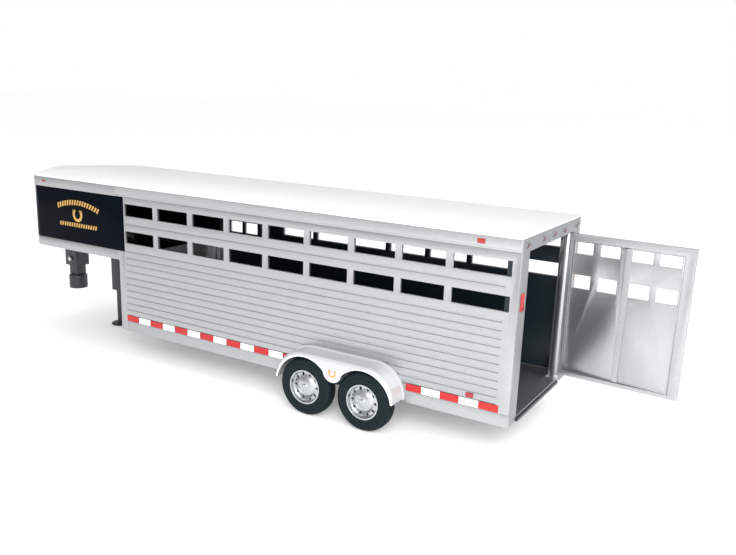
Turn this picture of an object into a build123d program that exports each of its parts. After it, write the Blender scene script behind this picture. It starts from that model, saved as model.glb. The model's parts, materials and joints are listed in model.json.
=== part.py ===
from build123d import *
import math
import os

os.makedirs("parts", exist_ok=True)

# A moulded toy gooseneck livestock trailer at about 1:20, in millimetres.
# +Z is up, the nose points along -X, the rear gate along +X and the left side along -Y.
# The tyres and the jack foot stand on z = 0.

# ---- driving dimensions ----
box_length = 305.0        # stock box, from the front wall to the rear frame
body_width = 105.4
nose_side = 92.0          # straight side of the nose, ahead of the front wall
nose_rise = 39.0          # how much further the V of the nose runs
nose_corner_radius = 11.0
nose_tip_radius = 18.0
rail_bottom = 19.4        # lowest edge of the body sides
skin_bottom = 27.0        # top of the bottom rail, foot of the side sheets
nose_bottom = 72.4
nose_panel_bottom = 79.4
fascia_bottom = 119.0
roof_bottom = 126.0
roof_top = 127.4

skin_thickness = 1.5
liner_thickness = 1.2
fascia_proud = 0.4        # the top fascia stands this far out from the sheets
panel_gap = 0.1           # moulding gap between two separate panels

window_start = 7.2
window_pitch = 32.3
window_length = 27.9
window_end = 300.2        # rear edge of the last, longer window
window_count = 9
upper_window = (105.6, 114.2)
lower_window = (85.9, 94.6)
liner_window_margin = 0.4 # the liner's openings stand back this far all round
groove_depth = 0.6
groove_width = 1.1
groove_top = 80.2
groove_pitch = 4.87
groove_count = 11
groove_start = 6.6
groove_end = 297.0
floor_underside = 20.9
floor_rib_pitch = 22.0
floor_rib_height = 3.3

front_post_width = 6.0
post_depth = 8.0          # rear frame, along the trailer
post_width = 12.4         # rear frame, across the trailer
header_bottom = 118.4
sill_top = 22.6
gusset_leg = 5.5          # brace in the upper left corner of the doorway
gusset_setback = 4.7      # it stands ahead of the closed gate by this much

tyre_radius = 18.7
tyre_width = 9.0
tyre_bore = 11.0
tyre_shoulder = 2.2
wheels_centre = 197.6     # midway between the axles, from the front wall
tyre_gap = 4.6            # between the two tyres of one side
wheel_stand = 13.9        # outer face of the tyres, out from the side sheets
axle_radius = 1.5
axle_clearance = 0.7      # of the side rails round the axles
running_gap = 0.05        # radial clearance of every turning fit
rim_hole_count = 10
rim_hole_circle = 8.1
rim_hole_radius = 0.95
carrier_depth = 4.1       # axle carrier, below the axle line

fender_stand = 15.1       # outer face of the fenders, out from the side sheets
fender_wall = 1.2
fender_round = 2.0        # outer shoulder of the fender
arch_gap = 1.5            # between tyre and arch
arch_margins = (1.1, 0.5) # moulding beyond the arches, front and rear
fender_crown = 2.3        # moulding above the arches
fender_foot_rise = 3.1    # feet of the fender, above the axle line
lobe_rise = 8.3           # foot of the lobe between the wheels, above the axle line
lobe_radius = 6.5         # round end of the lobe
lobe_blend = 3.0          # where the lobe runs into the arches
bead_width = 0.9          # bead that runs round the fender on the body
bead_depth = 1.8

gate_open_angle = 87.0
gate_reach = 77.0         # from the hinge axis to the free edge
gate_bottom = 25.5
gate_top = 117.9
gate_bottom_rail = 2.6
gate_top_rail = 4.3
gate_stile = 5.8
gate_rows = ((83.5, 92.1), (105.5, 112.9))
leaf_windows = ((5.6, 16.8), (21.4, 33.4))
slider_windows = ((41.0, 53.4), (57.2, 69.9))
slider_overlap = 1.8      # of the fixed leaf, when the half gate is shut
leaf_end = 39.0
gate_half_depth = 1.9
gate_tube_radius = 2.75
gate_pin_radius = 0.9

door_start = 12.5
door_length = 36.9
door_bottom = 34.0
door_top = 116.6
door_gap = 0.6
door_jamb = 6.6           # from the door's free edge to the side sheet
door_stiles = (4.6, 4.3)  # beside the door's windows, hinge side and latch side
door_window_post = 3.2
door_window_rows = ((82.0, 90.8), (104.2, 111.6))
door_groove_count = 9
knuckle_heights = (44.0, 104.0)

lamp_height = 122.2
lamp_places = (-45.0, -19.2, 0.0, 19.2, 45.0)
reflector_inset = 3.6
reflector_width = 5.4
reflector_span = (86.0, 96.0)
low_marker = (281.0, 33.9)
high_marker = (281.8, 123.0)
tape_runs = ((5.9, 23.9, 7), (238.5, 24.1, 3))   # first red block, pitch and count of each run
tape_length = 12.1
tape_span = (27.3, 31.6)
tape_thickness = 0.15

jack_position = -60.0
jack_tube_bottom = 30.0
jack_leg_top = 46.0
jack_leg_radius = 3.1
jack_foot_height = 1.2

coupler_position = -112.0
coupler_bottom = 24.0
neck_bottom = 44.0
neck_size = (14.0, 13.0)
neck_wall = 2.0
ball_bore_radius = 4.0
ball_bore_depth = 8.0

# ---- worked-out places ----
side_y = body_width / 2                       # outer face of the side sheets
liner_y = side_y - skin_thickness             # outer face of the liners
inner_y = liner_y - liner_thickness           # inside of the walls
tip_half_angle = math.atan2(side_y, nose_rise)
nose_tip = nose_side + nose_rise - nose_tip_radius * (1 / math.sin(tip_half_angle) - 1)
open_tilt = math.radians(90.0 - gate_open_angle)
hinge_inset = 2.7                             # hinge axis ahead of the rear face
hinge_y = side_y - post_width - gate_tube_radius - 0.45
gate_extent = gate_reach * math.cos(open_tilt) + gate_half_depth * math.sin(open_tilt)
rear_extent = box_length - hinge_inset + gate_extent
front_x = (nose_tip + fascia_proud - rear_extent) / 2   # centres the whole part on x = 0
rear_x = front_x + box_length
wheel_outer = side_y + wheel_stand
fender_outer = side_y + fender_stand
axle_reach = tyre_radius + tyre_gap / 2       # from the wheels' centre to an axle
axle_positions = (wheels_centre - axle_reach, wheels_centre + axle_reach)
arch_radius = tyre_radius + arch_gap
fender_start = axle_positions[0] - arch_radius - arch_margins[0]
fender_end = axle_positions[1] + arch_radius + arch_margins[1]
fender_foot = tyre_radius + fender_foot_rise
fender_top = tyre_radius + arch_radius + fender_crown
fender_shoulder = fender_top - fender_foot - 0.4
lobe_bottom = tyre_radius + lobe_rise
hinge_x = rear_x - hinge_inset
door_edge = front_x + door_start
door_bay_end = door_start + door_length + door_jamb
door_window = (door_length - sum(door_stiles) - door_window_post) / 2
door_window_starts = (door_stiles[0], door_stiles[0] + door_window + door_window_post)
sides = (("left", -1), ("right", 1))


def block(x, y, z, mode=Mode.ADD):
    """A box between two limits on each axis."""
    centre = ((x[0] + x[1]) / 2, (y[0] + y[1]) / 2, (z[0] + z[1]) / 2)
    with Locations(centre):
        Box(abs(x[1] - x[0]), abs(y[1] - y[0]), abs(z[1] - z[0]), mode=mode)


def rod(centre, radius, length, axis=Axis.Z, mode=Mode.ADD):
    """A cylinder centred on a point, along one of the main axes."""
    turn = {Axis.X: (0, 90, 0), Axis.Y: (90, 0, 0), Axis.Z: (0, 0, 0)}[axis]
    with Locations(centre):
        Cylinder(radius, length, rotation=turn, mode=mode)


def windows(first):
    """X limits of the side windows, from the given one to the longer rear one."""
    limits = []
    for k in range(first, window_count):
        start = front_x + window_start + k * window_pitch
        last = k == window_count - 1
        limits.append((start, front_x + window_end if last else start + window_length))
    return limits


def cut_windows(y, first, margin=0.0):
    """Openings of both window rows through a wall that spans the given y limits."""
    for start, end in windows(first):
        for low, high in (upper_window, lower_window):
            block((start - margin, end + margin), y, (low - margin, high + margin), Mode.SUBTRACT)


def plan_outline(back, grow):
    """Plan of the nose: straight sides and a blunt, rounded V, grown outwards all round."""
    base = front_x - nose_side
    Polygon((back - grow, -side_y), (base, -side_y), (base - nose_rise, 0),
            (base, side_y), (back - grow, side_y), align=None)
    ahead = vertices().sort_by(Axis.X)
    fillet(ahead[1:3], nose_corner_radius)
    fillet(vertices().sort_by(Axis.X)[0], nose_tip_radius)
    offset(amount=grow, kind=Kind.INTERSECTION)


def nose_plan(low, back, grow):
    """The nose's plan as a flat face at a height."""
    with BuildSketch(Plane.XY.offset(low)) as plan:
        plan_outline(back, grow)
    return plan.sketch


def nose_band(back, outer, inner, low, high):
    """A wall that follows the nose, between two growths of its plan."""
    extrude(nose_plan(low, back, outer), amount=high - low)
    past_back = back - 2 * inner
    extrude(nose_plan(low, past_back, inner), amount=high - low, mode=Mode.SUBTRACT)


def write(name, piece):
    piece.part.label = name
    export_step(piece.part, f"parts/{name}.step")


# ---- side walls: outer sheets with slats and windows, black liners inside ----
post_back = front_x + front_post_width
wall_front = {"left": post_back + panel_gap, "right": front_x + door_bay_end}
first_window = {"left": 0, "right": math.ceil((door_bay_end - window_start) / window_pitch)}
for side, s in sides:
    with BuildPart() as side_skin:
        outer, inner = s * side_y, s * liner_y
        block((wall_front[side], rear_x), (outer, inner), (skin_bottom, fascia_bottom))
        cut_windows((outer + s, inner - s), first_window[side])
        grooves = [groove_top - k * groove_pitch for k in range(groove_count)]
        grooves.append((upper_window[0] + lower_window[1]) / 2)
        start = max(front_x + groove_start, wall_front[side] + 0.6)
        for height in grooves:
            block((start, front_x + groove_end), (outer + s, outer - s * groove_depth),
                  (height - groove_width / 2, height + groove_width / 2), Mode.SUBTRACT)
    write(f"side_skin_{side}", side_skin)

    with BuildPart() as liner:
        block((max(wall_front[side], post_back + 2 * panel_gap), rear_x - post_depth - panel_gap),
              (s * liner_y, s * inner_y), (sill_top, roof_bottom))
        cut_windows((s * (liner_y + 1), s * (inner_y - 1)), first_window[side],
                    liner_window_margin)
    write(f"liner_{side}", liner)

    with BuildPart() as side_rail:
        block((post_back + panel_gap, rear_x), (s * side_y, s * inner_y), (rail_bottom, sill_top))
        block((post_back + panel_gap, rear_x), (s * side_y, s * liner_y), (sill_top, skin_bottom))
        notch = axle_radius + axle_clearance
        for axle in axle_positions:
            block((front_x + axle - notch, front_x + axle + notch),
                  (s * (side_y + 1), s * (inner_y - 1)), (0, tyre_radius + notch), Mode.SUBTRACT)
    write(f"side_rail_{side}", side_rail)

    with BuildPart() as front_post:
        block((front_x, post_back), (s * side_y, s * inner_y), (rail_bottom, nose_panel_bottom))
    write(f"front_post_{side}", front_post)

    with BuildPart() as fascia:
        block((front_x + panel_gap, rear_x), (s * (side_y + fascia_proud), s * liner_y),
              (fascia_bottom, roof_bottom))
        block((front_x - 1, rear_x + 1), (s * (side_y + 1), s * (side_y - 0.1)),
              (fascia_bottom, fascia_bottom + 1.2), Mode.SUBTRACT)
    write(f"fascia_{side}", fascia)

# ---- escape door bay in the right side ----
bay_end = wall_front["right"] - panel_gap
bay_start = post_back + panel_gap
door_opening = (door_edge - door_gap, door_edge + door_length + door_gap)
with BuildPart() as door_frame:
    block((bay_start, bay_end), (side_y, inner_y), (skin_bottom, fascia_bottom))
    block(door_opening, (side_y + 1, inner_y - 1), (door_bottom - door_gap, door_top + door_gap),
          Mode.SUBTRACT)
write("door_frame", door_frame)

hinge_line = (door_edge - 0.9, side_y + 1.3)
door_span = (door_edge, door_edge + door_length)
with BuildPart() as door_panel:
    block(door_span, (side_y, liner_y), (door_bottom, door_top))
    for row in door_window_rows:
        for start in door_window_starts:
            block((door_edge + start, door_edge + start + door_window),
                  (side_y + 1, liner_y - 1), row, Mode.SUBTRACT)
    for k in range(door_groove_count):
        height = groove_top - 3 - k * groove_pitch
        block((door_edge + 2, door_edge + door_length - 2), (side_y + 1, side_y - groove_depth),
              (height - groove_width / 2, height + groove_width / 2), Mode.SUBTRACT)
    for height in knuckle_heights:
        rod((*hinge_line, height), 1.2, 4.0)
        block((hinge_line[0], door_edge + 5), (side_y, side_y + 0.6), (height - 2, height + 2))
        rod((*hinge_line, height), 0.5 + running_gap, 6.0, mode=Mode.SUBTRACT)
write("door_panel", door_panel)

with BuildPart() as door_liner:
    block((door_edge + 0.3, door_edge + door_length - 0.3), (liner_y, inner_y),
          (door_bottom + 0.3, door_top - 0.3))
    for row in door_window_rows:
        for start in door_window_starts:
            block((door_edge + start - 0.3, door_edge + start + door_window + 0.3),
                  (liner_y + 1, inner_y - 1), (row[0] - 0.3, row[1] + 0.3), Mode.SUBTRACT)
write("door_liner", door_liner)

with BuildPart() as door_hinges:
    for height in knuckle_heights:
        rod((*hinge_line, height), 0.5, 9.0)
        for step in (-3.4, 3.4):
            rod((*hinge_line, height + step), 1.2, 2.2)
            block((door_edge - 4.6, hinge_line[0]), (side_y, side_y + 0.6),
                  (height + step - 1.1, height + step + 1.1))
write("door_hinges", door_hinges)

latch_x = door_edge + door_length - 4.0
with BuildPart() as door_latch:
    rod((latch_x, side_y + 0.85, 66.0), 1.6, 1.5, Axis.Y)
    block((latch_x - 1.3, latch_x + 1.3), (side_y + 1.6, side_y + 2.8), (57.0, 67.6))
write("door_latch", door_latch)

# ---- nose: black panel, silver lower rail, grey fascia, floor ----
with BuildPart() as nose_panel:
    nose_band(front_x + 4.7, 0, -1.6, nose_panel_bottom, fascia_bottom)
write("nose_panel", nose_panel)

with BuildPart() as nose_rail:
    nose_band(front_x - panel_gap, 0, -2.6, nose_bottom, nose_panel_bottom)
write("nose_rail", nose_rail)

with BuildPart() as nose_fascia:
    nose_band(front_x, fascia_proud, -1.6, fascia_bottom, roof_bottom)
write("nose_fascia", nose_fascia)

with BuildPart() as nose_floor:
    extrude(nose_plan(nose_bottom, front_x - panel_gap, -2.7), amount=1.8)
write("nose_floor", nose_floor)

with BuildPart() as roof:
    extrude(nose_plan(roof_bottom, rear_x, fascia_proud), amount=roof_top - roof_bottom)
write("roof", roof)

# ---- front wall and floor of the stock box ----
with BuildPart() as front_wall:
    block((front_x, front_x + 1.6), (-inner_y + 0.1, inner_y - 0.1), (rail_bottom, nose_bottom + 1.8))
    for k in range(9):
        height = rail_bottom + 6 + k * 5.0
        block((front_x - 1, front_x + groove_depth), (-inner_y + 4, inner_y - 4),
              (height - groove_width / 2, height + groove_width / 2), Mode.SUBTRACT)
write("front_wall", front_wall)

carrier_reach = axle_reach + 11.0             # clear ground for the axle carrier
with BuildPart() as floor_pan:
    block((front_x + 1.7, rear_x - post_depth - panel_gap), (-inner_y + 0.1, inner_y - 0.1),
          (floor_underside, sill_top - 0.1))
    rib = front_x + 14
    while rib < rear_x - 14:
        if abs(rib - front_x - wheels_centre) > carrier_reach:
            block((rib - 0.8, rib + 0.8), (-inner_y + 2, inner_y - 2),
                  (floor_underside - floor_rib_height, floor_underside))
        rib += floor_rib_pitch
write("floor_pan", floor_pan)

# ---- rear frame: one moulding round the gate opening ----
opening_y = side_y - post_width
frame_x = (rear_x - post_depth, rear_x)
with BuildPart() as rear_frame:
    block(frame_x, (-liner_y + 0.02, liner_y - 0.02), (sill_top, roof_bottom))
    block(frame_x, (-inner_y + 0.1, inner_y - 0.1), (rail_bottom, sill_top))
    block((frame_x[0] - 1, rear_x + 1), (-opening_y, opening_y), (sill_top, header_bottom),
          Mode.SUBTRACT)
    block((frame_x[0] - 1, rear_x + 1), (hinge_y - 3.5, opening_y), (0, sill_top), Mode.SUBTRACT)
    with BuildSketch(Plane.YZ.offset(frame_x[0])):
        Polygon((-opening_y, header_bottom), (-opening_y + gusset_leg, header_bottom),
                (-opening_y, header_bottom - gusset_leg), align=None)
    extrude(amount=post_depth - gusset_setback)
    rod((hinge_x, hinge_y, header_bottom + 1.5), gate_pin_radius, 3.0, mode=Mode.SUBTRACT)
write("rear_frame", rear_frame)

with BuildPart() as bumper_strip:
    block((rear_x, rear_x + 1.2), (-opening_y, hinge_y - 3.6), (19.5, 21.6))
write("bumper_strip", bumper_strip)

with BuildPart() as gate_knuckle:
    rod((hinge_x, hinge_y, 21.9), gate_tube_radius, 5.6)
    block((hinge_x - 1.6, hinge_x + 1.6), (hinge_y, opening_y), (rail_bottom, 24.7))
    rod((hinge_x, hinge_y, 22.0), gate_pin_radius, 10.0, mode=Mode.SUBTRACT)
write("gate_knuckle", gate_knuckle)

pin_span = (rail_bottom - 0.2, header_bottom + 2.6)
with BuildPart() as gate_pin:
    rod((hinge_x, hinge_y, sum(pin_span) / 2), gate_pin_radius, pin_span[1] - pin_span[0])
write("gate_pin", gate_pin)

# ---- rear gate, drawn along its own open direction: x outwards from the hinge, y its outer face ----
gate_plane = Plane(
    origin=(hinge_x, hinge_y, 0),
    x_dir=(math.cos(open_tilt), -math.sin(open_tilt), 0), z_dir=(0, 0, 1))
top_rail = (gate_top - gate_top_rail, gate_top)
bottom_rail = (gate_bottom, gate_bottom + gate_bottom_rail)
free_stile = (gate_reach - gate_stile, gate_reach)
with BuildPart(gate_plane) as gate_frame:
    tube_bottom = 24.9
    rod((0, 0, (tube_bottom + gate_top) / 2), gate_tube_radius, gate_top - tube_bottom)
    full = (-gate_half_depth, gate_half_depth)
    block((1.5, 4.4), full, (tube_bottom, gate_top))
    block(free_stile, full, (gate_bottom, gate_top))
    for rail in (top_rail, bottom_rail):
        block((4.4, free_stile[0]), full, rail)
    block((4.4, free_stile[0]), (-1.5, -0.1), (bottom_rail[1] - 1.6, top_rail[0] + 1.6), Mode.SUBTRACT)
    rod((0, 0, 70), gate_pin_radius + running_gap, 120, mode=Mode.SUBTRACT)
write("gate_frame", gate_frame)

with BuildPart(gate_plane) as gate_panel:
    block((4.4, leaf_end), (0.2, 1.6), (bottom_rail[1], top_rail[0]))
    for span in leaf_windows:
        for row in gate_rows:
            block(span, (-3, 3), row, Mode.SUBTRACT)
write("gate_panel", gate_panel)

slider_start = leaf_end - slider_overlap
slider_end = free_stile[0] - 0.3
with BuildPart(gate_plane) as half_gate:
    block((slider_start, slider_end), (-1.3, -0.3), (bottom_rail[1] - 1.3, top_rail[0] + 1.3))
    for span in slider_windows:
        for row in gate_rows:
            block(span, (-3, 3), row, Mode.SUBTRACT)
write("half_gate", half_gate)

lever_x = gate_reach - 3.2
with BuildPart(gate_plane) as gate_latch:
    rod((lever_x, gate_half_depth + 0.75, 65.6), 1.5, 1.5, Axis.Y)
    block((lever_x - 1.3, lever_x + 1.3), (3.2, 4.4), (64.3, 75.6))
write("gate_latch", gate_latch)

# ---- lamps, reflectors and marking tape ----
with BuildPart() as header_lights:
    for y in lamp_places:
        with Locations((rear_x, y, lamp_height)):
            Box(1.2, 4.6, 2.0, align=(Align.MIN, Align.CENTER, Align.CENTER))
write("header_lights", header_lights)

for side, s in sides:
    with BuildPart() as reflector:
        outer = side_y - reflector_inset
        block((rear_x, rear_x + 0.5), (s * (outer - reflector_width), s * outer), reflector_span)
    write(f"reflector_{side}", reflector)

    with BuildPart() as marker_lights:
        for (along, z), y in ((low_marker, side_y), (high_marker, side_y + fascia_proud)):
            x = front_x + along
            block((x - 2.3, x + 2.3), (s * y, s * (y + 0.8)), (z - 1.4, z + 1.4))
    write(f"marker_lights_{side}", marker_lights)

    starts = [front_x + first + pitch * k for first, pitch, count in tape_runs for k in range(count)]
    tape_y = (s * side_y, s * (side_y + tape_thickness))
    with BuildPart() as red_tape:
        for start in starts:
            if start > wall_front[side] - tape_length / 2:
                block((max(start, wall_front[side] + 0.2), start + tape_length), tape_y, tape_span)
        block((front_x + fender_start - 1.3, front_x + fender_end + 1.0),
              (-fender_outer, fender_outer), (0, fender_top), Mode.SUBTRACT)
    write(f"red_tape_{side}", red_tape)

# ---- fenders ----
def fender_outline(grow):
    """Side view of the fender, grown outwards all round."""
    with BuildSketch(Plane.XZ) as outline:
        with Locations((front_x + (fender_start + fender_end) / 2, (fender_foot + fender_top) / 2)):
            Rectangle(fender_end - fender_start, fender_top - fender_foot)
        fillet(outline.vertices().group_by(Axis.Y)[-1], fender_shoulder)
        offset(amount=grow)
    return outline.sketch


inside_feet = (front_x + fender_start + fender_wall, front_x + fender_end - fender_wall)
for side, s in sides:
    with BuildPart() as fender:
        extrude(fender_outline(0.0), amount=-s * fender_outer)
        rim_edges = fender.faces().sort_by(Axis.Y)[0 if s < 0 else -1].edges()
        fillet(rim_edges.filter_by(lambda e: e.center().Z > fender_foot + 0.1), fender_round)
        block((front_x, rear_x), (-side_y, side_y), (0, roof_top), Mode.SUBTRACT)
        extrude(fender_outline(-fender_wall), amount=-s * (fender_outer - fender_wall),
                mode=Mode.SUBTRACT)
        block(inside_feet, (0, s * (fender_outer - fender_wall)), (fender_foot - 4, fender_foot + 4),
              Mode.SUBTRACT)
        bead = fender_outline(bead_width) - fender_outline(-fender_wall)
        extrude(Location((0, s * side_y, 0)) * bead, amount=-s * bead_depth)
        with BuildSketch(Plane.XZ) as arches:
            for axle in axle_positions:
                with Locations((front_x + axle, tyre_radius)):
                    Circle(arch_radius)
            with Locations((front_x + wheels_centre, lobe_bottom + lobe_radius / 2)):
                Rectangle(2 * axle_reach, lobe_bottom, align=(Align.CENTER, Align.MAX))
            with Locations((front_x + wheels_centre, lobe_bottom + lobe_radius)):
                Circle(lobe_radius, mode=Mode.SUBTRACT)
            beside_lobe = arches.vertices().filter_by(
                lambda v: abs(v.X - front_x - wheels_centre) < 1.5 * lobe_radius
                and v.Y > lobe_bottom + lobe_radius / 2)
            fillet(beside_lobe, lobe_blend)
        extrude(amount=-s * (fender_outer + 2), mode=Mode.SUBTRACT)
    write(f"fender_{side}", fender)

# ---- axles, their carrier and the wheels ----
with BuildPart() as axle_carrier:
    carrier_x = (front_x + axle_positions[0] - 8.6, front_x + axle_positions[1] + 8.4)
    carrier_floor = tyre_radius - carrier_depth
    block(carrier_x, (-34, 34), (carrier_floor, floor_underside))
    for s in (-1, 1):
        block((carrier_x[0] + 18, carrier_x[1] - 18), (s * 8, s * 40),
              (carrier_floor - 4, floor_underside - 1.3), Mode.SUBTRACT)
    for axle in axle_positions:
        rod((front_x + axle, 0, tyre_radius), axle_radius, 80, Axis.Y, Mode.SUBTRACT)
write("axle_carrier", axle_carrier)

for place, axle in zip(("front", "rear"), axle_positions):
    with BuildPart() as axle_rod:
        rod((front_x + axle, 0, tyre_radius), axle_radius, 2 * (wheel_outer - 2.6), Axis.Y)
    write(f"axle_{place}", axle_rod)

    for side, s in sides:
        centre = (front_x + axle, s * (wheel_outer - tyre_width / 2), tyre_radius)
        with BuildPart() as tyre:
            rod(centre, tyre_radius, tyre_width, Axis.Y)
            fillet(tyre.edges().filter_by(GeomType.CIRCLE), tyre_shoulder)
            rod(centre, tyre_bore, tyre_width + 2, Axis.Y, Mode.SUBTRACT)
        write(f"tyre_{place}_{side}", tyre)

        with BuildPart() as rim:
            axle_plane = Plane(origin=(front_x + axle, 0, tyre_radius), x_dir=(1, 0, 0), z_dir=(0, 0, 1))
            with BuildSketch(axle_plane):
                face = wheel_outer
                inner_face = wheel_outer - tyre_width
                with BuildLine():
                    Polyline([(r, s * y) for r, y in (
                        (0, face - 0.1), (1.6, face - 0.1), (5.6, face - 0.9), (6.3, face - 1.5),
                        (7.2, face - 2.3), (9.0, face - 2.5), (9.9, face - 1.4), (10.1, face + 0.1),
                        (tyre_bore - 0.02, face + 0.1), (tyre_bore - 0.02, inner_face + 0.6),
                        (9.6, inner_face + 0.6), (9.6, face - 4.0), (4.0, face - 4.0),
                        (4.0, inner_face + 0.8), (0, inner_face + 0.8))], close=True)
                make_face()
            revolve(axis=Axis((front_x + axle, 0, tyre_radius), (0, 1, 0)))
            with Locations(Location((front_x + axle, s * face, tyre_radius), (90, 0, 0))):
                with PolarLocations(rim_hole_circle, rim_hole_count):
                    Cylinder(rim_hole_radius, 12, mode=Mode.SUBTRACT)
            bore = (inner_face - 0.3, wheel_outer - 2.3)
            rod((front_x + axle, s * sum(bore) / 2, tyre_radius), axle_radius + running_gap,
                bore[1] - bore[0], Axis.Y, Mode.SUBTRACT)
        write(f"rim_{place}_{side}", rim)

# ---- gooseneck coupler ----
neck_x = front_x + coupler_position
with BuildPart() as coupler_neck:
    half_x, half_y = neck_size[0] / 2, neck_size[1] / 2
    hollow_x, hollow_y = half_x - neck_wall, half_y - neck_wall
    block((neck_x - half_x, neck_x + half_x), (-half_y, half_y), (neck_bottom, nose_bottom))
    block((neck_x - hollow_x, neck_x + hollow_x), (-hollow_y, hollow_y),
          (neck_bottom - 4, nose_bottom - neck_wall), Mode.SUBTRACT)
    screw_height = neck_bottom + 6.0
    for y in (-half_y, half_y):
        rod((neck_x, y, screw_height), 1.0, 6.0, Axis.Y, Mode.SUBTRACT)
write("coupler_neck", coupler_neck)

with BuildPart() as coupler_stem:
    block((neck_x - hollow_x + running_gap, neck_x + hollow_x - running_gap),
          (-hollow_y + running_gap, hollow_y - running_gap), (coupler_bottom + 12, neck_bottom + 18))
write("coupler_stem", coupler_stem)

with BuildPart() as coupler_socket:
    rod((neck_x, 0, coupler_bottom + 6), 7.5, 12.0)
    fillet(coupler_socket.edges().filter_by(GeomType.CIRCLE).sort_by(Axis.Z)[-1], 2.0)
    rod((neck_x, 0, coupler_bottom + ball_bore_depth / 2 - 1), ball_bore_radius, ball_bore_depth + 2,
        mode=Mode.SUBTRACT)
write("coupler_socket", coupler_socket)

with BuildPart() as coupler_screws:
    for s in (-1, 1):
        rod((neck_x, s * (half_y - 0.6), screw_height), 0.95, 2.8, Axis.Y)
        rod((neck_x, s * (half_y + 0.8), screw_height), 1.9, 1.6, Axis.Y)
write("coupler_screws", coupler_screws)

# ---- landing jack: square tube under the nose, round leg that slides up into it ----
jack_x = front_x + jack_position
with BuildPart() as jack_tube:
    block((jack_x - 4.6, jack_x + 4.6), (-4.6, 4.6), (jack_tube_bottom, nose_bottom))
    block((jack_x - 9, jack_x + 9), (-8, 8), (nose_bottom - 1.6, nose_bottom))
    rod((jack_x, 0, jack_tube_bottom + 20.5), jack_leg_radius + running_gap, 42.0, mode=Mode.SUBTRACT)
write("jack_tube", jack_tube)

with BuildPart() as jack_leg:
    rod((jack_x, 0, (jack_foot_height + jack_leg_top) / 2), jack_leg_radius,
        jack_leg_top - jack_foot_height)
write("jack_leg", jack_leg)

with BuildPart() as jack_foot:
    rod((jack_x, 0, jack_foot_height / 2), 8.0, jack_foot_height)
write("jack_foot", jack_foot)

# ---- screws that hold the floor moulding to the walls ----
with BuildPart() as floor_screws:
    for x in (26.0, 135.0, 267.0):
        for y in (-40.0, 40.0):
            rod((front_x + x, y, floor_underside - 0.6), 2.2, 1.2)
write("floor_screws", floor_screws)
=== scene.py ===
import json
import math

import bmesh
import bpy
from mathutils import Matrix, Vector


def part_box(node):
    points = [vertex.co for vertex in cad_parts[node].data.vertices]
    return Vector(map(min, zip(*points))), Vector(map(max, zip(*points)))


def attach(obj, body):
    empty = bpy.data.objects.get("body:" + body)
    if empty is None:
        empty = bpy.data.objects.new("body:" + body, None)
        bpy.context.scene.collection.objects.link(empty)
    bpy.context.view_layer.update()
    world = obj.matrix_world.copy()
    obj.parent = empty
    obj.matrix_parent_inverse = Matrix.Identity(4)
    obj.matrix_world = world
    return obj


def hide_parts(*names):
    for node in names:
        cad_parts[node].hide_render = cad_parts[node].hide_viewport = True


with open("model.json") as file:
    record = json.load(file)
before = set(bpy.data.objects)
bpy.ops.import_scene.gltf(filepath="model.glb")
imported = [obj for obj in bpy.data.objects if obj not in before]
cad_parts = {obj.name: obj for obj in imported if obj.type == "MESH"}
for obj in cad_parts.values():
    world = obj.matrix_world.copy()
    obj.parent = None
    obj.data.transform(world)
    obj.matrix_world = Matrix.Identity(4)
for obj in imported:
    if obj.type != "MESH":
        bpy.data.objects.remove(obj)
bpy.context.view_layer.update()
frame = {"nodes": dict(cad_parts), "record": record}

nodes = frame["nodes"]
mm = 0.001

# ---------------------------------------------------------------------------------------------
# The studio: a pale table that runs out of sight, a white room that is dimmer towards the nose
# side, and two large soft boxes, one overhead and one off the left rear corner.
scene = bpy.context.scene
scene.view_settings.view_transform = "Standard"

table_mesh = bpy.data.meshes.new("studio_table")
table_shape = bmesh.new()
bmesh.ops.create_grid(table_shape, x_segments=1, y_segments=1, size=8.0)
table_shape.to_mesh(table_mesh)
table_shape.free()
table = bpy.data.objects.new("studio_table", table_mesh)
scene.collection.objects.link(table)
table_paint = bpy.data.materials.new("table_paint")
table_paint.use_nodes = True
table_shader = table_paint.node_tree.nodes["Principled BSDF"]
table_shader.inputs["Base Color"].default_value = (0.95, 0.95, 0.95, 1)
table_shader.inputs["Roughness"].default_value = 0.7
table_shader.inputs["Specular IOR Level"].default_value = 0.1
table_shader.inputs["Emission Color"].default_value = (1.0, 1.0, 1.0, 1)
table_shader.inputs["Emission Strength"].default_value = 0.2
table_mesh.materials.append(table_paint)

room = bpy.data.worlds.new("studio_room")
room.use_nodes = True
scene.world = room
room_nodes, room_link = room.node_tree.nodes, room.node_tree.links.new
room_light = room_nodes["Background"]
room_light.inputs["Color"].default_value = (1.0, 1.0, 1.0, 1)
towards = room_nodes.new("ShaderNodeTexCoord")
split = room_nodes.new("ShaderNodeSeparateXYZ")
falloff = room_nodes.new("ShaderNodeMapRange")
falloff.inputs["From Min"].default_value = -0.85
falloff.inputs["From Max"].default_value = 0.25
falloff.inputs["To Min"].default_value = 0.42
falloff.inputs["To Max"].default_value = 1.05
backdrop = room_nodes.new("ShaderNodeBackground")
backdrop.inputs["Color"].default_value = (1.0, 1.0, 1.0, 1)
backdrop.inputs["Strength"].default_value = 1.0
ray = room_nodes.new("ShaderNodeLightPath")
either = room_nodes.new("ShaderNodeMixShader")
room_link(towards.outputs["Generated"], split.inputs["Vector"])
room_link(split.outputs["X"], falloff.inputs["Value"])
room_link(falloff.outputs["Result"], room_light.inputs["Strength"])
room_link(ray.outputs["Is Camera Ray"], either.inputs["Fac"])
room_link(room_light.outputs["Background"], either.inputs[1])
room_link(backdrop.outputs["Background"], either.inputs[2])
room_link(either.outputs["Shader"], room_nodes["World Output"].inputs["Surface"])


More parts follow.
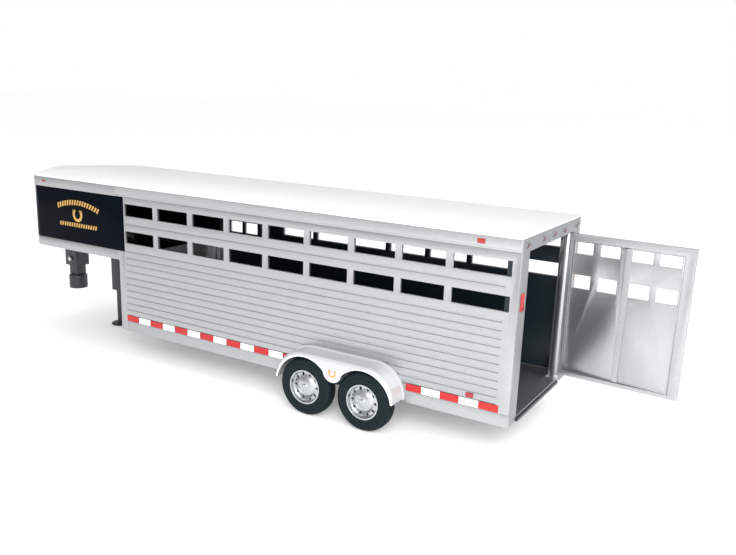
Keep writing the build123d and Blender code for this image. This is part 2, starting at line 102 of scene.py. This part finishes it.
def soft_box(name, place, aim, width, height, power):
    lamp = bpy.data.lights.new(name, "AREA")
    lamp.shape = "RECTANGLE"
    lamp.size, lamp.size_y, lamp.energy = width, height, power
    holder = bpy.data.objects.new(name, lamp)
    holder.location = place
    holder.rotation_euler = (Vector(aim) - Vector(place)).to_track_quat("-Z", "Y").to_euler()
    holder.visible_camera = False
    scene.collection.objects.link(holder)


soft_box("overhead_box", (0.0, 0.1, 1.4), (0.05, 0.0, 0.0), 1.8, 1.4, 4.2)
soft_box("side_box", (0.45, -0.6, 0.4), (0.12, 0.0, 0.05), 0.5, 0.5, 5.4)

eye = Vector((314.05, -440.2, 199.2)) * mm
turn, dip, lean = math.radians(30.26), math.radians(-14.21), math.radians(2.19)
ahead = Vector((-math.sin(turn) * math.cos(dip), math.cos(turn) * math.cos(dip), math.sin(dip)))
across = Vector((math.cos(turn), math.sin(turn), 0))
above = across.cross(ahead)
across, above = (across * math.cos(lean) + above * math.sin(lean),
                 above * math.cos(lean) - across * math.sin(lean))
lens = bpy.data.cameras.new("studio_camera")
lens.lens, lens.sensor_width = 38.19, 36.0
lens.shift_x, lens.shift_y = -0.0047, 0.0145
lens.clip_start = 0.01
camera = bpy.data.objects.new("studio_camera", lens)
camera.matrix_world = Matrix.Translation(eye) @ Matrix((across, above, -ahead)).transposed().to_4x4()
scene.collection.objects.link(camera)
scene.camera = camera

# ---------------------------------------------------------------------------------------------
# Side sheets, rails, posts, door bay and rear frame: polystyrene moulded with fine metal flake
# in it, with two rows of window slots and eleven slats. The mould leaves every arris slightly
# round, a faint spark texture, and a gloss that drifts a little where the plastic flowed.


def moulded_plastic(name, colour, rough=0.4, metal=0.0, texture=0.12, flake=0.0, drift=0.05,
                    specular=0.5, gloss=0.0):
    """Injection-moulded plastic: drifting tone and gloss, a fine spark texture, metal flake."""
    paint = bpy.data.materials.new(name)
    paint.use_nodes = True
    n, link = paint.node_tree.nodes, paint.node_tree.links.new
    shader = n["Principled BSDF"]
    shader.inputs["Metallic"].default_value = metal
    shader.inputs["Specular IOR Level"].default_value = specular
    shader.inputs["Coat Weight"].default_value = gloss
    shader.inputs["Coat Roughness"].default_value = 0.06
    where = n.new("ShaderNodeTexCoord")
    flow = n.new("ShaderNodeMapping")
    flow.inputs["Scale"].default_value = (0.35, 1.0, 1.0)
    cloud = n.new("ShaderNodeTexNoise")
    cloud.inputs["Scale"].default_value = 60
    cloud.inputs["Detail"].default_value = 5
    tint = n.new("ShaderNodeMix")
    tint.data_type = "RGBA"
    tint.inputs[6].default_value = (*[c * (1 - drift) for c in colour], 1)
    tint.inputs[7].default_value = (*[min(c * (1 + drift), 1) for c in colour], 1)
    link(where.outputs["Object"], flow.inputs["Vector"])
    link(flow.outputs["Vector"], cloud.inputs["Vector"])
    link(cloud.outputs["Fac"], tint.inputs["Factor"])
    shade = tint.outputs[2]
    if flake:
        speck = n.new("ShaderNodeTexVoronoi")
        speck.inputs["Scale"].default_value = 2400
        spark = n.new("ShaderNodeMapRange")
        spark.inputs["To Min"].default_value = 1 - flake
        spark.inputs["To Max"].default_value = 1 + flake
        glint = n.new("ShaderNodeMix")
        glint.data_type = "RGBA"
        glint.blend_type = "MULTIPLY"
        glint.inputs["Factor"].default_value = 1.0
        link(where.outputs["Object"], speck.inputs["Vector"])
        link(speck.outputs["Color"], spark.inputs["Value"])
        link(shade, glint.inputs[6])
        link(spark.outputs["Result"], glint.inputs[7])
        shade = glint.outputs[2]
    link(shade, shader.inputs["Base Color"])
    wear = n.new("ShaderNodeMapRange")
    wear.inputs["To Min"].default_value = max(rough - 0.06, 0.03)
    wear.inputs["To Max"].default_value = rough + 0.08
    link(cloud.outputs["Fac"], wear.inputs["Value"])
    link(wear.outputs["Result"], shader.inputs["Roughness"])
    grain = n.new("ShaderNodeTexNoise")
    grain.inputs["Scale"].default_value = 1400
    grain.inputs["Detail"].default_value = 3
    bump = n.new("ShaderNodeBump")
    bump.inputs["Strength"].default_value = texture
    bump.inputs["Distance"].default_value = 0.05 * mm
    link(where.outputs["Object"], grain.inputs["Vector"])
    link(grain.outputs["Fac"], bump.inputs["Height"])
    link(bump.outputs["Normal"], shader.inputs["Normal"])
    return paint


def paint_node(name, paint):
    """Gives a carried-over piece its material."""
    part = nodes[name]
    part.data.materials.clear()
    part.data.materials.append(paint)
    part.data.polygons.foreach_set("use_smooth", [True] * len(part.data.polygons))
    return part


def round_arrises(part, mould_radius):
    """Rounds the arrises that turn by more than a gentle bend, by the mould's radius in mm."""
    edge = part.modifiers.new("mould_radius", "BEVEL")
    edge.width = mould_radius * mm
    edge.segments = 2
    edge.limit_method = "ANGLE"
    edge.angle_limit = math.radians(38)
    edge.harden_normals = True


def finish_node(name, paint, mould_radius):
    """Paints a carried-over moulding, merges its flat faces and rounds its arrises."""
    part = paint_node(name, paint)
    weld = part.modifiers.new("weld", "WELD")
    weld.merge_threshold = 0.002 * mm
    flat = part.modifiers.new("flat", "DECIMATE")
    flat.decimate_type = "DISSOLVE"
    flat.angle_limit = math.radians(0.5)
    round_arrises(part, mould_radius)


silver = moulded_plastic("silver_flake_plastic", (0.43, 0.44, 0.45), 0.30, 0.8, 0.10, 0.09)
finish_node("side_skin_left", silver, 0.18)
finish_node("side_skin_right", silver, 0.18)
for name in ("side_rail_left", "side_rail_right", "front_post_left", "front_post_right",
             "front_wall"):
    finish_node(name, silver, 0.3)
# The rear frame's silver is a darker copy of the walls' silver: painted shade for its rear-facing faces,
# which get less light.
rear_frame_painted_shade_silver = moulded_plastic("rear_frame_painted_shade_silver_plastic", (0.30, 0.31, 0.32), 0.40, 0.65, 0.10, 0.07)
finish_node("rear_frame", rear_frame_painted_shade_silver, 0.4)
finish_node("gate_knuckle", silver, 0.2)

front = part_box("front_wall")[0][0]
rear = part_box("rear_frame")[1][0]
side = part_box("side_skin_right")[1][1]


def add_piece(name, shape, paint, body, mould_radius=0.0):
    """Turns a worked shape into a piece of its own that rides on a body."""
    mesh = bpy.data.meshes.new(name)
    shape.to_mesh(mesh)
    shape.free()
    mesh.materials.append(paint)
    mesh.polygons.foreach_set("use_smooth", [True] * len(mesh.polygons))
    piece = bpy.data.objects.new(name, mesh)
    scene.collection.objects.link(piece)
    if mould_radius:
        round_arrises(piece, mould_radius)
    else:
        mesh.set_sharp_from_angle(angle=math.radians(35))
    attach(piece, body)
    return piece


def bar(shape, x, y, z):
    """Adds a straight bar between two limits on each axis."""
    corners = [shape.verts.new((a, b, c)) for c in z for b in y for a in x]
    for ring in ((0, 2, 3, 1), (4, 5, 7, 6), (0, 1, 5, 4), (2, 6, 7, 3), (0, 4, 6, 2), (1, 3, 7, 5)):
        shape.faces.new([corners[k] for k in ring])
    bmesh.ops.recalc_face_normals(shape, faces=shape.faces)


# ---------------------------------------------------------------------------------------------
# Top fascia: a separate greyer strip of the same flake plastic, glued round the head of the
# walls and carried round the nose.
fascia_grey = moulded_plastic("fascia_grey_plastic", (0.42, 0.43, 0.44), 0.36, 0.65, 0.10, 0.08)
for name in ("fascia_left", "fascia_right", "nose_fascia"):
    finish_node(name, fascia_grey, 0.25)

# ---------------------------------------------------------------------------------------------
# Roof: one white satin cap that sits on the fascia, with a soft edge all round.
roof_white = moulded_plastic("white_roof_plastic", (0.78, 0.78, 0.78), 0.42, 0.0, 0.08, 0.0, 0.015)
finish_node("roof", roof_white, 0.55)

# ---------------------------------------------------------------------------------------------
# Nose: glossy black panel with a gold printed badge on each side, above a silver rail. The badge
# is a plain horseshoe between two lengths of rope, pad-printed a hair proud of the plastic.
gloss_black = moulded_plastic("gloss_black_plastic", (0.0012, 0.003, 0.006), 0.16, 0.0, 0.03, 0.0,
                              0.1, 0.05)
finish_node("nose_panel", gloss_black, 0.3)
finish_node("nose_rail", silver, 0.35)
finish_node("nose_floor", gloss_black, 0.2)

gold_print = moulded_plastic("gold_print", (0.62, 0.36, 0.10), 0.42, 0.25, 0.05, 0.05, 0.12)
badge_x, badge_z = front - 43.0 * mm, 100.5 * mm
print_lift = 0.05 * mm
arched_rope_radius, arched_rope_rise, arched_rope_half = 62 * mm, 9.2 * mm, 1.9 * mm
straight_rope_drop, straight_rope_height, strand_pitch = 9.3 * mm, 3.0 * mm, 2.6 * mm


def printed_patch(shape, outline, face_y, outward):
    """One flat printed shape on a side face, from its outline in x and z."""
    top = [shape.verts.new((x, face_y + outward * print_lift, z)) for x, z in outline]
    foot = [shape.verts.new((x, face_y - outward * print_lift, z)) for x, z in outline]
    shape.faces.new(top)
    for k in range(len(outline)):
        shape.faces.new((top[k], foot[k], foot[k - 1], top[k - 1]))


def horseshoe(centre_x, centre_z, height):
    """Outline strips of a horseshoe that stands on its toe: list of four-sided patches."""
    outer, inner = height * 0.5, height * 0.29
    strips, last = [], None
    for k in range(31):
        angle = math.radians(-218 + 256 * k / 30)
        stretch = 1.12 if math.sin(angle) > 0 else 1.0
        pair = [(centre_x + r * math.cos(angle), centre_z + r * math.sin(angle) * stretch)
                for r in (outer, inner)]
        if last:
            strips.append((last[0], pair[0], pair[1], last[1]))
        last = pair
    for end in (-1, 1):
        angle = math.radians(-90 + 128 * end)
        heel_x = centre_x + height * 0.43 * math.cos(angle)
        heel_z = centre_z + height * 0.47 * math.sin(angle)
        wide, tall = height * 0.14, height * 0.05
        strips.append([(heel_x + a * wide, heel_z + b * tall)
                       for a, b in ((-1, -1), (1, -1), (1, 1), (-1, 1))])
    return strips


for hand, outward in (("left", -1), ("right", 1)):
    face_y = outward * side
    badge = bmesh.new()
    for strip in horseshoe(badge_x, badge_z, 10.5 * mm):
        printed_patch(badge, strip, face_y, outward)
    for k in range(17):
        angle = math.radians((k - 8) * 2.55)
        strand = []
        for half, slip in ((-arched_rope_half, -0.7), (-arched_rope_half, 0.9),
                           (arched_rope_half, 1.9), (arched_rope_half, 0.3)):
            turn = angle + slip * mm / arched_rope_radius
            reach = arched_rope_radius + half
            strand.append((badge_x + reach * math.sin(turn),
                           badge_z + arched_rope_rise + reach * math.cos(turn) - arched_rope_radius))
        printed_patch(badge, strand, face_y, outward)
    low = badge_z - straight_rope_drop
    for k in range(16):
        x = badge_x + (k - 7.5) * strand_pitch
        printed_patch(badge, ((x - 0.9 * mm, low), (x + 0.6 * mm, low),
                              (x + 1.3 * mm, low + straight_rope_height),
                              (x - 0.2 * mm, low + straight_rope_height)), face_y, outward)
    bmesh.ops.recalc_face_normals(badge, faces=badge.faces)
    add_piece(f"nose_badge_{hand}", badge, gold_print, "trailer")

# ---------------------------------------------------------------------------------------------
# Lining and floor: black polystyrene, glossy on the floor, seen through the windows and doorway.
lining_black = moulded_plastic("lining_black_plastic", (0.008, 0.015, 0.020), 0.3, 0.0, 0.08, 0.0,
                               0.15, 0.35)
# The floor's black is lifted to a dark grey, well above the lining: painted reflection on its gloss, on top
# of its real coat.
floor_painted_reflection_black = moulded_plastic("floor_painted_reflection_black_plastic", (0.10, 0.107, 0.112), 0.20, 0.0, 0.05, 0.0,
                              0.12, 0.5, 0.9)
for name in ("liner_left", "liner_right", "door_liner"):
    finish_node(name, lining_black, 0.15)
finish_node("floor_pan", floor_painted_reflection_black, 0.2)
finish_node("bumper_strip", lining_black, 0.3)

doorway_half = side - 12.4 * mm
hinge_room = 7.0 * mm
jamb_foot, jamb_head = 25.0 * mm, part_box("gate_frame")[1][2] + 0.3 * mm
frame_front = rear - 8.0 * mm
# The doorway trims take the floor's black, lifted to dark grey as painted reflection.
trims = bmesh.new()
bar(trims, (frame_front, rear - 0.3 * mm), (-doorway_half + 0.2 * mm, doorway_half - hinge_room),
    (22.5 * mm, 22.8 * mm))
for outward in (-1, 1):
    bar(trims, (frame_front + 0.1 * mm, rear - 0.5 * mm),
        sorted((outward * (doorway_half - 0.14 * mm), outward * (doorway_half + 0.05 * mm))),
        (jamb_foot, jamb_head))
add_piece("doorway_trims", trims, floor_painted_reflection_black, "trailer")

last_windows_end = rear - 4.9 * mm
window_rows = ((105.7, 114.1), (86.0, 94.5))
window_backs = bmesh.new()
for outward in (-1, 1):
    for low, high in window_rows:
        bar(window_backs, (frame_front + 0.05 * mm, last_windows_end),
            sorted((outward * (side - 1.6 * mm), outward * (side - 1.35 * mm))), (low * mm, high * mm))
add_piece("window_backs", window_backs, lining_black, "trailer")

# ---------------------------------------------------------------------------------------------
# Conspicuity tape: printed foil stuck along the foot of each wall, red and white in turn, with
# the fine honeycomb that such tape has. It stops at the fenders and at the door bay.


def honeycomb_foil(name, colour, rough):
    paint = moulded_plastic(name, colour, rough, 0.0, 0.05, 0.0, 0.03, 0.5)
    n, link = paint.node_tree.nodes, paint.node_tree.links.new
    cells = n.new("ShaderNodeTexVoronoi")
    cells.feature = "DISTANCE_TO_EDGE"
    cells.inputs["Scale"].default_value = 1300
    cells.inputs["Randomness"].default_value = 0.25
    walls = n.new("ShaderNodeMapRange")
    walls.inputs["From Max"].default_value = 0.12
    emboss = n.new("ShaderNodeBump")
    emboss.inputs["Strength"].default_value = 0.35
    emboss.inputs["Distance"].default_value = 0.04 * mm
    link(n["Texture Coordinate"].outputs["Object"], cells.inputs["Vector"])
    link(cells.outputs["Distance"], walls.inputs["Value"])
    link(walls.outputs["Result"], emboss.inputs["Height"])
    link(n["Bump"].outputs["Normal"], emboss.inputs["Normal"])
    link(emboss.outputs["Normal"], n["Principled BSDF"].inputs["Normal"])
    return paint


red_foil = honeycomb_foil("red_foil", (0.48, 0.012, 0.014), 0.35)
white_foil = honeycomb_foil("white_foil", (0.92, 0.92, 0.91), 0.4)
tape_low, tape_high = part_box("red_tape_left")
block_length = 12.1 * mm
tape_thickness = 0.15 * mm
tape_runs = ((tape_low[0], 23.9 * mm, 7), (front + 238.5 * mm, 24.1 * mm, 3))
for hand, outward in (("left", -1), ("right", 1)):
    paint_node(f"red_tape_{hand}", red_foil).data.set_sharp_from_angle(angle=math.radians(30))
    wall_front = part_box(f"side_skin_{hand}")[0][0]
    tape = bmesh.new()
    for first, pitch, count in tape_runs:
        for k in range(1, count):
            start = max(first + pitch * (k - 1) + block_length, wall_front + 0.3 * mm)
            end = first + pitch * k
            if end > start + 1 * mm:
                bar(tape, (start + 0.02 * mm, end - 0.02 * mm),
                    sorted((outward * side, outward * (side + tape_thickness))),
                    (tape_low[2], tape_high[2]))
    add_piece(f"white_tape_{hand}", tape, white_foil, "trailer")

# ---------------------------------------------------------------------------------------------
# Lamps and reflectors: red lenses of clear-tinted plastic with fine cast ribs. The header lamps
# sit in thin bright bezels.
lens_red = moulded_plastic("red_lens_plastic", (0.34, 0.012, 0.012), 0.12, 0.0, 0.0, 0.0, 0.1, 0.5, 0.6)
n, link = lens_red.node_tree.nodes, lens_red.node_tree.links.new
ribs = n.new("ShaderNodeTexWave")
ribs.bands_direction = "Z"
ribs.inputs["Scale"].default_value = 260
rib_bump = n.new("ShaderNodeBump")
rib_bump.inputs["Strength"].default_value = 0.5
rib_bump.inputs["Distance"].default_value = 0.1 * mm
link(n["Texture Coordinate"].outputs["Object"], ribs.inputs["Vector"])
link(ribs.outputs["Fac"], rib_bump.inputs["Height"])
link(rib_bump.outputs["Normal"], n["Principled BSDF"].inputs["Normal"])
for name in ("marker_lights_left", "marker_lights_right"):
    finish_node(name, lens_red, 0.6)
lens_dark = moulded_plastic("unlit_lens_plastic", (0.075, 0.012, 0.012), 0.14, 0.0, 0.0, 0.0, 0.1, 0.5, 0.6)
finish_node("header_lights", lens_dark, 0.35)
reflex_red = honeycomb_foil("reflex_red", (0.45, 0.010, 0.012), 0.22)
for name in ("reflector_left", "reflector_right"):
    finish_node(name, reflex_red, 0.18)


def bezel(shape, centre, half, width, proud, plane):
    """A rounded rectangular ring round a lens. The plane is the two axes that it lies along."""
    out_axis = ({0, 1, 2} - set(plane)).pop()
    rings = []
    for grow, lift in ((0.0, 0.0), (0.0, proud), (width, proud), (width, 0.0)):
        ring = []
        for a, b in ((1, 1), (-1, 1), (-1, -1), (1, -1)):
            corner = 0.45 * min(half) + grow
            for k in range(5):
                turn = math.radians(22.5 * k)
                u = {(1, 1): math.cos(turn), (-1, 1): -math.sin(turn),
                     (-1, -1): -math.cos(turn), (1, -1): math.sin(turn)}[(a, b)]
                v = {(1, 1): math.sin(turn), (-1, 1): math.cos(turn),
                     (-1, -1): -math.sin(turn), (1, -1): -math.cos(turn)}[(a, b)]
                spot = [0.0, 0.0, 0.0]
                spot[plane[0]] = centre[plane[0]] + a * (half[0] + grow - corner) + u * corner
                spot[plane[1]] = centre[plane[1]] + b * (half[1] + grow - corner) + v * corner
                spot[out_axis] = centre[out_axis] + lift
                ring.append(shape.verts.new(spot))
        rings.append(ring)
    for inner, outer in zip(rings, rings[1:]):
        for k in range(len(inner)):
            shape.faces.new((inner[k - 1], inner[k], outer[k], outer[k - 1]))
    bmesh.ops.recalc_face_normals(shape, faces=shape.faces)


lamp_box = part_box("header_lights")
lamp_z = (lamp_box[0][2] + lamp_box[1][2]) / 2
lamp_end, lamp_inner = lamp_box[1][1] - 2.3 * mm, 19.2 * mm
frames = bmesh.new()
for y in (-lamp_end, -lamp_inner, 0.0, lamp_inner, lamp_end):
    bezel(frames, (rear, y, lamp_z), (2.2 * mm, 0.9 * mm), 0.55 * mm, 0.75 * mm, (1, 2))
# The header bezels use the rear frame's darker silver, which carries painted shade.
add_piece("header_bezels", frames, rear_frame_painted_shade_silver, "trailer")

nose_marker_x = front - 79 * mm
fascia_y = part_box("fascia_right")[1][1]
fascia_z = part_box("fascia_right")[0][2]
for hand, outward in (("left", -1), ("right", 1)):
    markers = bmesh.new()
    y = sorted((outward * fascia_y, outward * (fascia_y + 0.7 * mm)))
    bar(markers, (nose_marker_x - 1.6 * mm, nose_marker_x + 1.6 * mm), y,
        (fascia_z + 3.4 * mm, fascia_z + 5.0 * mm))
    add_piece(f"nose_marker_{hand}", markers, lens_red, "trailer", 0.3)

# ---------------------------------------------------------------------------------------------
# Rear gate: a frame with a round hinge tube, a fixed leaf and a sliding half gate, moulded in the
# silver plastic. The inner faces show the round marks of the ejector pins and a thin border.
gate_silver = moulded_plastic("gate_silver_plastic", (0.46, 0.47, 0.48), 0.33, 0.90, 0.10, 0.09)
for name in ("gate_frame", "gate_panel", "half_gate"):
    finish_node(name, gate_silver, 0.22)
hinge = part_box("gate_pin")
hinge_spot = (hinge[0] + hinge[1]) / 2
open_tilt = math.radians(3)
gate_place = (Matrix.Translation((hinge_spot[0], hinge_spot[1], 0))
              @ Matrix.Rotation(-open_tilt, 4, "Z"))


def ring_mark(shape, x, y, z, radius, facing):
    """The shallow ring that an ejector pin leaves on a flat face, or a screw's rim."""
    section = ((radius, 0.0), (radius, 0.16), (radius - 0.28, 0.16), (radius - 0.28, 0.03), (0, 0.03))
    rings = []
    for r, lift in section:
        if r == 0:
            rings.append([shape.verts.new((x * mm, (y + facing * lift) * mm, z * mm))])
            continue
        rings.append([shape.verts.new(((x + r * math.cos(t)) * mm, (y + facing * lift) * mm,
                                       (z + r * math.sin(t)) * mm))
                      for t in (math.tau * k / 20 for k in range(20))])
    for inner, outer in zip(rings, rings[1:]):
        for k in range(20):
            if len(outer) == 1:
                shape.faces.new((inner[k - 1], inner[k], outer[0]))
            else:
                shape.faces.new((inner[k - 1], inner[k], outer[k], outer[k - 1]))
    bmesh.ops.recalc_face_normals(shape, faces=shape.faces)


def gate_bar(shape, x, y, z):
    bar(shape, [v * mm for v in x], [v * mm for v in y], [v * mm for v in z])


mark_radius = 1.15
leaf_face, slider_face = 0.2, -1.3
leaf_marks = bmesh.new()
for x, z in ((35.2, 110.2), (18.6, 97.4), (7.4, 31.4), (33.6, 31.0), (7.6, 78.4), (34.6, 78.6)):
    ring_mark(leaf_marks, x, leaf_face, z, mark_radius, -1)
leaf_marks.transform(gate_place)
add_piece("leaf_pin_marks", leaf_marks, gate_silver, "rear_gate")
slider_marks = bmesh.new()
for x, z in ((43.4, 98.8), (67.4, 98.8), (43.2, 79.4), (66.8, 79.6), (43.2, 31.2), (65.6, 30.6)):
    ring_mark(slider_marks, x, slider_face, z, mark_radius, -1)
slider_marks.transform(gate_place)
add_piece("slider_pin_marks", slider_marks, gate_silver, "half_gate")

stile, border_end = (37.4, 40.7), 70.5
border_low, border_high = 28.9, 113.0
slider_border = bmesh.new()
for x, z in (((border_end - 0.4, border_end), (border_low + 0.5, border_high - 0.4)),
             ((41.0, border_end), (border_low, border_low + 0.5)),
             ((41.0, border_end), (border_high - 0.4, border_high))):
    gate_bar(slider_border, x, (-1.5, -1.25), z)
gate_bar(slider_border, stile, (-1.85, -1.25), (28.6, 113.2))
slider_border.transform(gate_place)
add_piece("slider_border", slider_border, gate_silver, "half_gate", 0.1)

# ---------------------------------------------------------------------------------------------
# Wheels: soft black vinyl tyres with a rounded shoulder, fine rings on the side wall and a lightly
# siped tread, on vacuum-plated rims with ten holes, a domed hub, eight nuts and a small cap.
vinyl = moulded_plastic("tyre_vinyl", (0.004, 0.010, 0.012), 0.62, 0.0, 0.25, 0.0, 0.15, 0.18)
plated = moulded_plastic("plated_rim", (0.50, 0.52, 0.53), 0.26, 1.0, 0.03, 0.0, 0.02)


tread_from = 18.0


def lathe(profile, centre, outward, steps, sipe_depth=0.0):
    """Turns a wheel piece from (radius, distance outward) pairs about the axle, in mm."""
    shape = bmesh.new()
    rings = []
    for r, out in profile:
        if r == 0:
            rings.append([shape.verts.new((centre[0], centre[1] + outward * out * mm, centre[2]))])
            continue
        ring = []
        for k in range(steps):
            cut = sipe_depth if r > tread_from and k % 4 == 0 else 0.0
            turn = math.tau * k / steps
            ring.append(shape.verts.new((centre[0] + (r - cut) * mm * math.cos(turn),
                                         centre[1] + outward * out * mm,
                                         centre[2] + (r - cut) * mm * math.sin(turn))))
        rings.append(ring)
    for a, b in zip(rings, rings[1:]):
        for k in range(steps):
            if len(a) == 1:
                shape.faces.new((a[0], b[k], b[k - 1]))
            elif len(b) == 1:
                shape.faces.new((a[k - 1], a[k], b[0]))
            else:
                shape.faces.new((a[k - 1], a[k], b[k], b[k - 1]))
    bmesh.ops.recalc_face_normals(shape, faces=shape.faces)
    return shape


side_wall = [(11.0, 4.0), (11.25, 4.32), (11.7, 4.42), (12.0, 4.25), (12.5, 4.3), (13.4, 4.42),
             (14.2, 4.5), (14.5, 4.5), (14.7, 4.32), (15.0, 4.32), (15.2, 4.48), (16.0, 4.46),
             (16.7, 4.36), (17.4, 4.05), (18.0, 3.5), (18.4, 2.8), (18.6, 2.2)]
tread = [(18.65, 1.9), (18.66, 1.75), (18.28, 1.65), (18.28, 1.35), (18.68, 1.25), (18.7, 0.4),
         (18.7, 0.25), (18.28, 0.2)]
half = side_wall + tread
whole = half + [(r, -out) for r, out in reversed(half)] + [(11.0, 4.0)]
nut_count, nut_circle, nut_radius, nut_height = 8, 3.6 * mm, 0.42 * mm, 0.9 * mm
rim_face, valve_radius, valve_length = 4.05 * mm, 0.3 * mm, 1.6 * mm
for place in ("front", "rear"):
    for hand, outward in (("left", -1), ("right", 1)):
        body = f"wheel_{place}_{hand}"
        low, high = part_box(f"tyre_{place}_{hand}")
        centre = (low + high) / 2
        tyre = add_piece(f"vinyl_tyre_{place}_{hand}", lathe(whole, centre, outward, 180, 0.22),
                         vinyl, body)
        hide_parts(f"tyre_{place}_{hand}")
        part = finish_node(f"rim_{place}_{hand}", plated, 0.12)
        cap = lathe(((2.1, 4.2), (2.1, 4.62), (1.9, 4.78), (1.2, 4.9), (0.5, 4.95), (0, 4.96)),
                    centre, outward, 32)
        add_piece(f"hub_cap_{place}_{hand}", cap, plated, body)
        nuts = bmesh.new()
        for k in range(nut_count):
            turn = math.tau * (k + 0.5) / nut_count
            spot = (centre[0] + nut_circle * math.cos(turn), centre[1] + outward * rim_face,
                    centre[2] + nut_circle * math.sin(turn))
            face = Matrix.Translation(spot) @ Matrix.Rotation(math.radians(90), 4, "X")
            bmesh.ops.create_cone(nuts, cap_ends=True, segments=6, radius1=nut_radius,
                                  radius2=nut_radius, depth=nut_height, matrix=face)
        add_piece(f"wheel_nuts_{place}_{hand}", nuts, plated, body, 0.1)
        valve = bmesh.new()
        spot = (centre[0] - 9.3 * mm, centre[1] + outward * 3.9 * mm, centre[2] + 2.0 * mm)
        face = Matrix.Translation(spot) @ Matrix.Rotation(math.radians(90), 4, "X")
        bmesh.ops.create_cone(valve, cap_ends=True, segments=12, radius1=valve_radius,
                              radius2=valve_radius, depth=valve_length, matrix=face)
        add_piece(f"tyre_valve_{place}_{hand}", valve, vinyl, body, 0.08)

# ---------------------------------------------------------------------------------------------
# Fenders: one silver moulding over both wheels of a side, with a raised lip along the arches coloured
# near-white as a painted highlight on its rounded edge, and a small gold horseshoe printed on the lobe
# between the wheels.
fender_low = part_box("fender_left")[0]
fender_silver = moulded_plastic("fender_silver_plastic", (0.56, 0.57, 0.58), 0.40, 0.35, 0.08, 0.06)
# Near-white bright metal for the arch lip: a painted highlight along the rounded edge.
arch_lip_painted_highlight = moulded_plastic("arch_lip_painted_highlight", (0.84, 0.85, 0.86), 0.24, 0.9, 0.04, 0.0, 0.02)
axle_front = (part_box("tyre_front_left")[0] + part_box("tyre_front_left")[1]) / 2
axle_rear = (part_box("tyre_rear_left")[0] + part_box("tyre_rear_left")[1]) / 2
middle = (axle_front[0] + axle_rear[0]) / 2
arch, lobe, blend = 20.2 * mm, 6.5 * mm, 3.0 * mm
foot_rise, lobe_rise = 3.2 * mm, 8.3 * mm
lip_overhang, lip_width, lip_proud, lip_root = 0.15 * mm, 1.25 * mm, 0.2 * mm, -0.9 * mm
lobe_centre = Vector((0.0, lobe_rise + lobe))
axle_spot = Vector((axle_front[0] - middle, 0.0))
span = (lobe_centre - axle_spot).length
along = ((arch - blend) ** 2 - (lobe + blend) ** 2 + span ** 2) / (2 * span)
rise = math.sqrt((arch - blend) ** 2 - along ** 2)
run = (lobe_centre - axle_spot) / span
blend_centre = axle_spot + run * along + Vector((-run[1], run[0])) * rise


def arc(centre, radius, start, end, steps, inward):
    """Points of an arc, each with the direction that leads into the moulding."""
    points = []
    for k in range(steps + 1):
        turn = start + (end - start) * k / steps
        ray = Vector((math.cos(turn), math.sin(turn)))
        points.append((centre + ray * radius, -ray if inward else ray))
    return points


def heading(vector):
    return math.atan2(vector[1], vector[0])


to_blend = heading(blend_centre - axle_spot)
from_lobe = heading(blend_centre - lobe_centre)
# Half of the edge, from the front foot over the wheel to the bottom of the lobe; then its mirror.
edge_half = arc(axle_spot, arch, math.pi - math.asin(foot_rise / arch), to_blend, 40, False)
edge_half += arc(blend_centre, blend, to_blend, from_lobe + math.pi, 6, False)[1:]
edge_half += arc(lobe_centre, lobe, from_lobe % math.tau, 1.5 * math.pi, 14, True)[1:]
lip_edge = edge_half + [(Vector((-p[0], p[1])), Vector((-d[0], d[1]))) for p, d in reversed(edge_half[:-1])]
for hand, outward in (("left", -1), ("right", 1)):
    finish_node(f"fender_{hand}", fender_silver, 0.3)
    face_y = outward * abs(fender_low[1])
    band = bmesh.new()
    rings = []
    for point, inside in lip_edge:
        near = point - inside * lip_overhang
        far = point + inside * lip_width
        rings.append([band.verts.new((middle + spot[0], face_y + outward * lift,
                                      axle_front[2] + spot[1]))
                      for spot, lift in ((near, lip_root), (near, lip_proud),
                                         (far, lip_proud), (far, lip_root))])
    for last, here in zip(rings, rings[1:]):
        for k in range(4):
            band.faces.new((last[k - 1], last[k], here[k], here[k - 1]))
    band.faces.new(rings[0])
    band.faces.new(rings[-1])
    bmesh.ops.recalc_face_normals(band, faces=band.faces)
    add_piece(f"fender_lip_{hand}", band, arch_lip_painted_highlight, "trailer", 0.18)
    badge = bmesh.new()
    for strip in horseshoe(middle, axle_front[2] + 14.0 * mm, 5.4 * mm):
        printed_patch(badge, strip, face_y, outward)
    bmesh.ops.recalc_face_normals(badge, faces=badge.faces)
    add_piece(f"fender_badge_{hand}", badge, gold_print, "trailer")

# ---------------------------------------------------------------------------------------------
# Running gear and hitch: dark moulded axle beam and neck, plain steel axles, hinge pin, screws
# and latches, and a square-tube jack with a round leg and foot.
steel_dark = moulded_plastic("dark_moulding", (0.035, 0.038, 0.042), 0.4, 0.2, 0.12, 0.03, 0.12)
steel_bare = moulded_plastic("bare_steel", (0.60, 0.60, 0.61), 0.24, 1.0, 0.05, 0.0, 0.05)
slots = {part["node"]: part["material_slot"] for part in frame["record"]["subparts"]}
for name, part in nodes.items():
    if part.modifiers or part.hide_render or name.startswith("red_tape"):
        continue
    kind = slots[name]
    paint = {"dark_steel": steel_dark, "bare_steel": steel_bare, "silver_plastic": silver,
             "black_plastic": lining_black}[kind]
    finish_node(name, paint, 0.2)

cross_slots = bmesh.new()
screw_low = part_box("floor_screws")[0][2]
for x in (26.0, 135.0, 267.0):
    for y in (-40.0, 40.0):
        spot_x, spot_y = front + x * mm, y * mm
        for a, b in ((1.3, 0.28), (0.28, 1.3)):
            bar(cross_slots, (spot_x - a * mm, spot_x + a * mm), (spot_y - b * mm, spot_y + b * mm),
                (screw_low - 0.03 * mm, screw_low + 0.1 * mm))
add_piece("screw_slots", cross_slots, lining_black, "trailer")
